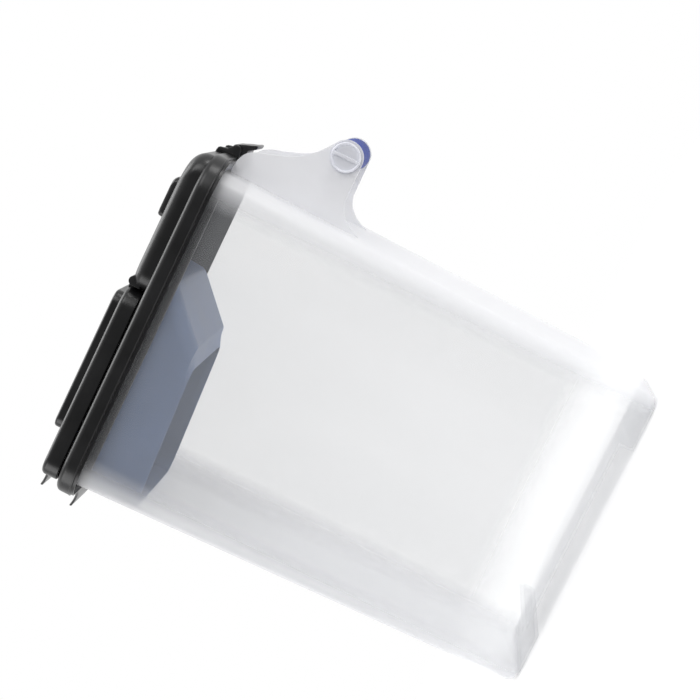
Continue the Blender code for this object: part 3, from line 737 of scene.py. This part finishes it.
def make_chute():
    """Funnel frame inside the mouth: straight sides, sloped back, rolled lower edge."""
    vertex_y, vertex_z = MID_Y + 0.0030, 0.3830
    top = CHUTE_HIGH.z
    half = CHUTE_HIGH.x
    front = CHUTE_LOW.y
    start_z = 0.4265
    back = CHUTE_HIGH.y
    rows = [(back, top, 0.0), (back - 0.0010, start_z + 0.0030, 0.0),
            (back - 0.0024, start_z - 0.0004, 0.0), (back - 0.0050, start_z - 0.0035, 0.0)]
    slope_steps = 4
    last_y, last_z = rows[-1][:2]
    for step in range(1, slope_steps + 1):
        t = step / slope_steps
        y = last_y + (vertex_y + 0.0025 - last_y) * t
        z = last_z + (vertex_z + 0.0015 - last_z) * t
        rows.append((y, z, 0.0015 * t))
    rows.append((vertex_y - 0.0045, vertex_z - 0.0022, 0.0045))
    wall = 0.0022
    outer = [ring(half, (front, y), z, 0.0196, tilt) for y, z, tilt in rows]
    low_back, low_z, low_tilt = vertex_y - 0.0150, CHUTE_LOW.z, 0.0070
    lip = [ring(half, (front, low_back), low_z + 0.0006, 0.0196, low_tilt),
           ring(half - 0.0005, (front + 0.0005, low_back - 0.0005), low_z, 0.0191, low_tilt),
           ring(half - wall + 0.0005, (front + wall - 0.0005, low_back - wall), low_z, 0.0179, low_tilt)]
    inner = [ring(half - wall, (front + wall, y - 1.3 * wall), z, 0.0174, tilt)
             for y, z, tilt in rows[::-1]]
    chute = new_object("chute_frame", loft(outer + lip + inner, closed=True))
    return stand_in(chute, "lid", "smoky_plastic", CHUTE_LOOK, "pour_chute")


def make_gasket(name, node, body, outer_corner, wide):
    """Soft rectangular seal with rounded corners and an underside slanted to a thin lip."""
    low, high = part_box(node)
    edge = 0.0006
    lip = 0.0008
    profile = [(0.0, low.z + edge), (0.0, high.z - edge), (edge, high.z), (wide - edge, high.z),
               (wide, high.z - edge), (wide, low.z + edge), (wide - edge, low.z),
               (0.5 * wide, low.z + lip), (edge, low.z)]
    rings = [inset_ring(high.x, (low.y, high.y), z, outer_corner, inset) for inset, z in profile]
    seal = new_object(name, loft(rings, closed=True))
    return stand_in(seal, body, "grey_seal", SEAL, node)


def make_pin(name, node):
    """Straight steel pin with chamfered ends."""
    low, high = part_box(node)
    centre = (0.5 * (low.y + high.y), 0.5 * (low.z + high.z))
    chamfer = 0.0004
    profile = [(low.x, PIN_RADIUS - chamfer), (low.x + chamfer, PIN_RADIUS),
               (high.x - chamfer, PIN_RADIUS), (high.x, PIN_RADIUS - chamfer)]
    pin = new_object(name, turned(centre, profile, steps=32, capped=True))
    return stand_in(pin, "lid", "steel", STEEL, node)


# ---------------------------------------------------------------- flap and latch
def flap_ring(z, inset):
    return inset_ring(FLAP_HALF_W, FLAP_Y, z, 0.0180, inset)


def make_flap():
    low, top = FLAP_LOW.z, FLAP_TOP
    edge = 0.0045
    rings = [flap_ring(low, 0.0006), flap_ring(low + 0.0006, 0.0)]
    for outward, up in rounding(edge, 0.0, 90.0, 8):
        rings.append(flap_ring(top - edge + up, edge - outward))
    flap = new_object("flap_shell", loft(rings))
    pad_round = 0.0026
    pad = [inset_ring(PAD_HALF_W, PAD_Y, top - 0.0020, PAD_CORNER, 0.0)]
    for outward, up in rounding(pad_round, 0.0, 90.0, 7):
        z = PAD_TOP - pad_round + up
        pad.append(inset_ring(PAD_HALF_W, PAD_Y, z, PAD_CORNER, pad_round - outward))
    join(flap, loft(pad))
    hollow_rows = ((low - 0.005, 0.0025), (top - 0.0040, 0.0025), (top - 0.0028, 0.0037))
    cut(flap, loft([flap_ring(z, inset) for z, inset in hollow_rows]))
    pad_rows = ((top - 0.004, 0.0028), (PAD_TOP - 0.0038, 0.0028), (PAD_TOP - 0.0028, 0.0038))
    cut(flap, loft([inset_ring(PAD_HALF_W, PAD_Y, z, PAD_CORNER, inset) for z, inset in pad_rows]))
    rib_out = 0.0035
    rib_wall = 0.0022
    rib_low, rib_top = 0.4556, 0.4640
    rib_y = (OPENING_Y[0] - rib_out, OPENING_Y[1] + rib_out)
    rib_rows = ((0.0, rib_low), (0.0, rib_top), (rib_wall, rib_top), (rib_wall, rib_low))
    rib = [inset_ring(OPENING_HALF_W + rib_out, rib_y, z, OPENING_CORNER + rib_out, inset)
           for inset, z in rib_rows]
    join(flap, loft(rib, closed=True))
    y, z = FLAP_HINGE
    for side in (-1.0, 1.0):
        faces = sorted((side * 0.0320, side * 0.0885))
        outline = [(FLAP_Y[1] - 0.0015, z - 0.0020), (y - 0.0035, z - 0.0028)]
        outline += arc((y, z), FLAP_BARREL, -135.0, 90.0, 20)
        outline += [(y - 0.0020, top + 0.0009), (FLAP_Y[1] - 0.0040, top - 0.0006),
                    (FLAP_Y[1] - 0.0050, top - 0.0020)]
        join(flap, prism(outline, *faces, bevel=0.0004, segments=2))
    join(flap, front_tab(MID_Y - 0.1575, 0.4630, FLAP_LOW.y, 0.4665))
    cut(flap, bar((y, z), BORE_RADIUS, -0.2, 0.2))
    return stand_in(flap, "flap", "black_plastic", BLACK, "pour_flap")


def make_latch():
    """Lever with a short heel, a flared finger lip and a nose that reaches under the tub's bead."""
    back = MID_Y
    outer_face = smooth_through([(back + y, z) for y, z in (
        (0.1745, 0.4411), (0.1765, 0.4406), (0.1778, 0.4392), (0.1791, 0.4358), (0.1812, 0.4310),
        (0.1828, 0.4262), (0.1846, 0.4222), (0.1848, 0.4206))], 4)
    inner_face = smooth_through([(back + y, z) for y, z in (
        (0.1832, 0.4201), (0.1812, 0.4208), (0.1795, 0.4232), (0.1778, 0.4258), (0.1762, 0.4270),
        (0.1720, 0.4263), (0.1660, 0.4251), (0.1630, 0.4253), (0.1620, 0.4266), (0.1624, 0.4284),
        (0.1680, 0.4289), (0.1700, 0.4300), (0.1703, 0.4335))], 3)
    outline = arc(LATCH_HINGE, LATCH_BARREL, 180.0, 105.0, 10) + outer_face + inner_face
    latch = new_object("latch_arm", prism(outline, -LATCH_HALF_W, LATCH_HALF_W, bevel=0.0007, segments=3))
    cut(latch, bar(LATCH_HINGE, BORE_RADIUS, -0.05, 0.05))
    return stand_in(latch, "latch", "black_plastic", BLACK, "rear_latch")


# ---------------------------------------------------------------- stage, light and camera
def make_floor():
    """Pale floor that fades into the backdrop away from the bin."""
    radius = 1.2
    solid_to, clear_from = 0.26, 0.80
    bm = bmesh.new()
    bmesh.ops.create_circle(bm, cap_ends=True, radius=radius, segments=96)
    floor = new_object("floor", bm)
    floor.location.z = -0.0002
    look = Look("floor_look", Roughness=0.8, Specular_IOR_Level=0.05)
    speck = look.noise(18.0, 3.0)
    distance = look.nodes.new("ShaderNodeVectorMath")
    distance.operation = "LENGTH"
    look.links.new(look.place, distance.inputs[0])
    fade = look.spread(distance.outputs["Value"], 1.0, 0.0, solid_to, clear_from)
    colour = look.blend(look.spread(speck, 0.0, 1.0), (0.94, 0.94, 0.94), (0.97, 0.97, 0.97))
    look.drive(Base_Color=colour, Alpha=fade)
    floor.data.materials.append(look.material)


def make_light(name, place, aim, size, power):
    data = bpy.data.lights.new(name, "AREA")
    data.shape = "RECTANGLE"
    data.size, data.size_y = size
    data.energy = power
    light = bpy.data.objects.new(name, data)
    bpy.context.scene.collection.objects.link(light)
    light.visible_camera = False
    light.location = place
    light.rotation_euler = (Vector(aim) - Vector(place)).to_track_quat("-Z", "Y").to_euler()


def make_world():
    """White studio: a white backdrop, with the light brightest behind and above the bin."""
    world = bpy.data.worlds.new("studio")
    world.use_nodes = True
    nodes = world.node_tree.nodes
    links = world.node_tree.links
    direction = nodes.new("ShaderNodeTexCoord").outputs["Generated"]
    towards = nodes.new("ShaderNodeVectorMath")
    towards.operation = "DOT_PRODUCT"
    towards.inputs[1].default_value = SKY_SIDE
    links.new(direction, towards.inputs[0])
    ramp = nodes.new("ShaderNodeValToRGB")
    ramp.color_ramp.interpolation = "EASE"
    low, high = ramp.color_ramp.elements
    low.position, low.color = 0.0, (SKY_DIM, SKY_DIM, SKY_DIM, 1.0)
    high.position, high.color = 0.75, (1.0, 1.0, 1.0, 1.0)
    scale = nodes.new("ShaderNodeMapRange")
    scale.inputs["From Min"].default_value = -1.0
    links.new(towards.outputs["Value"], scale.inputs["Value"])
    links.new(scale.outputs["Result"], ramp.inputs["Fac"])
    backdrop = nodes.new("ShaderNodeMix")
    backdrop.data_type = "RGBA"
    backdrop.inputs[7].default_value = (1.0, 1.0, 1.0, 1.0)
    links.new(nodes.new("ShaderNodeLightPath").outputs["Is Camera Ray"], backdrop.inputs["Factor"])
    links.new(ramp.outputs["Color"], backdrop.inputs[6])
    links.new(backdrop.outputs[2], nodes["Background"].inputs["Color"])
    nodes["Background"].inputs["Strength"].default_value = 1.0
    bpy.context.scene.world = world
    bpy.context.scene.view_settings.view_transform = "Standard"
    bpy.context.scene.cycles.transparent_max_bounces = SEE_THROUGH_FACES


def make_camera():
    """Long lens, close to level, on the bin's right and a little behind, rolled as if it pours."""
    azimuth = math.radians(97.99)
    elevation = math.radians(-0.54)
    roll = math.radians(-63.92)
    distance = 1.893
    target = Vector((0.0, MID_Y + 0.0509, 0.2647))
    view = Vector((-math.sin(azimuth) * math.cos(elevation), math.cos(azimuth) * math.cos(elevation),
                   -math.sin(elevation)))
    level = Vector((math.cos(azimuth), math.sin(azimuth), 0.0))
    upright = level.cross(view)
    right = math.cos(roll) * level + math.sin(roll) * upright
    up = right.cross(view)
    data = bpy.data.cameras.new("camera")
    data.sensor_width = 36.0
    data.lens = LENS_PER_WIDTH * data.sensor_width
    data.clip_start = 0.01
    data.clip_end = 50.0
    camera = bpy.data.objects.new("camera", data)
    bpy.context.scene.collection.objects.link(camera)
    turn = Matrix((right, up, -view)).transposed().to_4x4()
    camera.matrix_world = Matrix.Translation(target - view * distance) @ turn
    bpy.context.scene.camera = camera


def main():
    make_camera()
    make_tub()
    make_grip_sleeve()
    make_grip_core()
    make_cap(-1.0, "left")
    make_cap(1.0, "right")
    make_lid()
    make_chute()
    make_gasket("lid_seal_ring", "lid_gasket", "lid", outer_corner=0.0275, wide=0.0060)
    make_gasket("flap_seal_ring", "flap_gasket", "flap", outer_corner=0.0200, wide=0.0034)
    make_pin("flap_rod", "flap_hinge_rod")
    make_pin("latch_rod", "latch_pin")
    make_flap()
    make_latch()
    make_floor()
    make_world()
    make_light("key", (1.9, 1.5, 1.6), (0.0, 0.0, 0.28), (1.3, 1.3), 20.0)
    make_light("fill", (0.9, -1.9, 0.9), (0.0, 0.0, 0.25), (1.4, 1.4), 16.0)
    make_light("back", (0.45, 2.0, 0.55), (0.0, 0.15, 0.40), (0.40, 0.40), 7.0)
    make_light("top", (-0.4, 0.0, 2.2), (0.0, 0.0, 0.2), (1.6, 1.6), 26.0)


main()
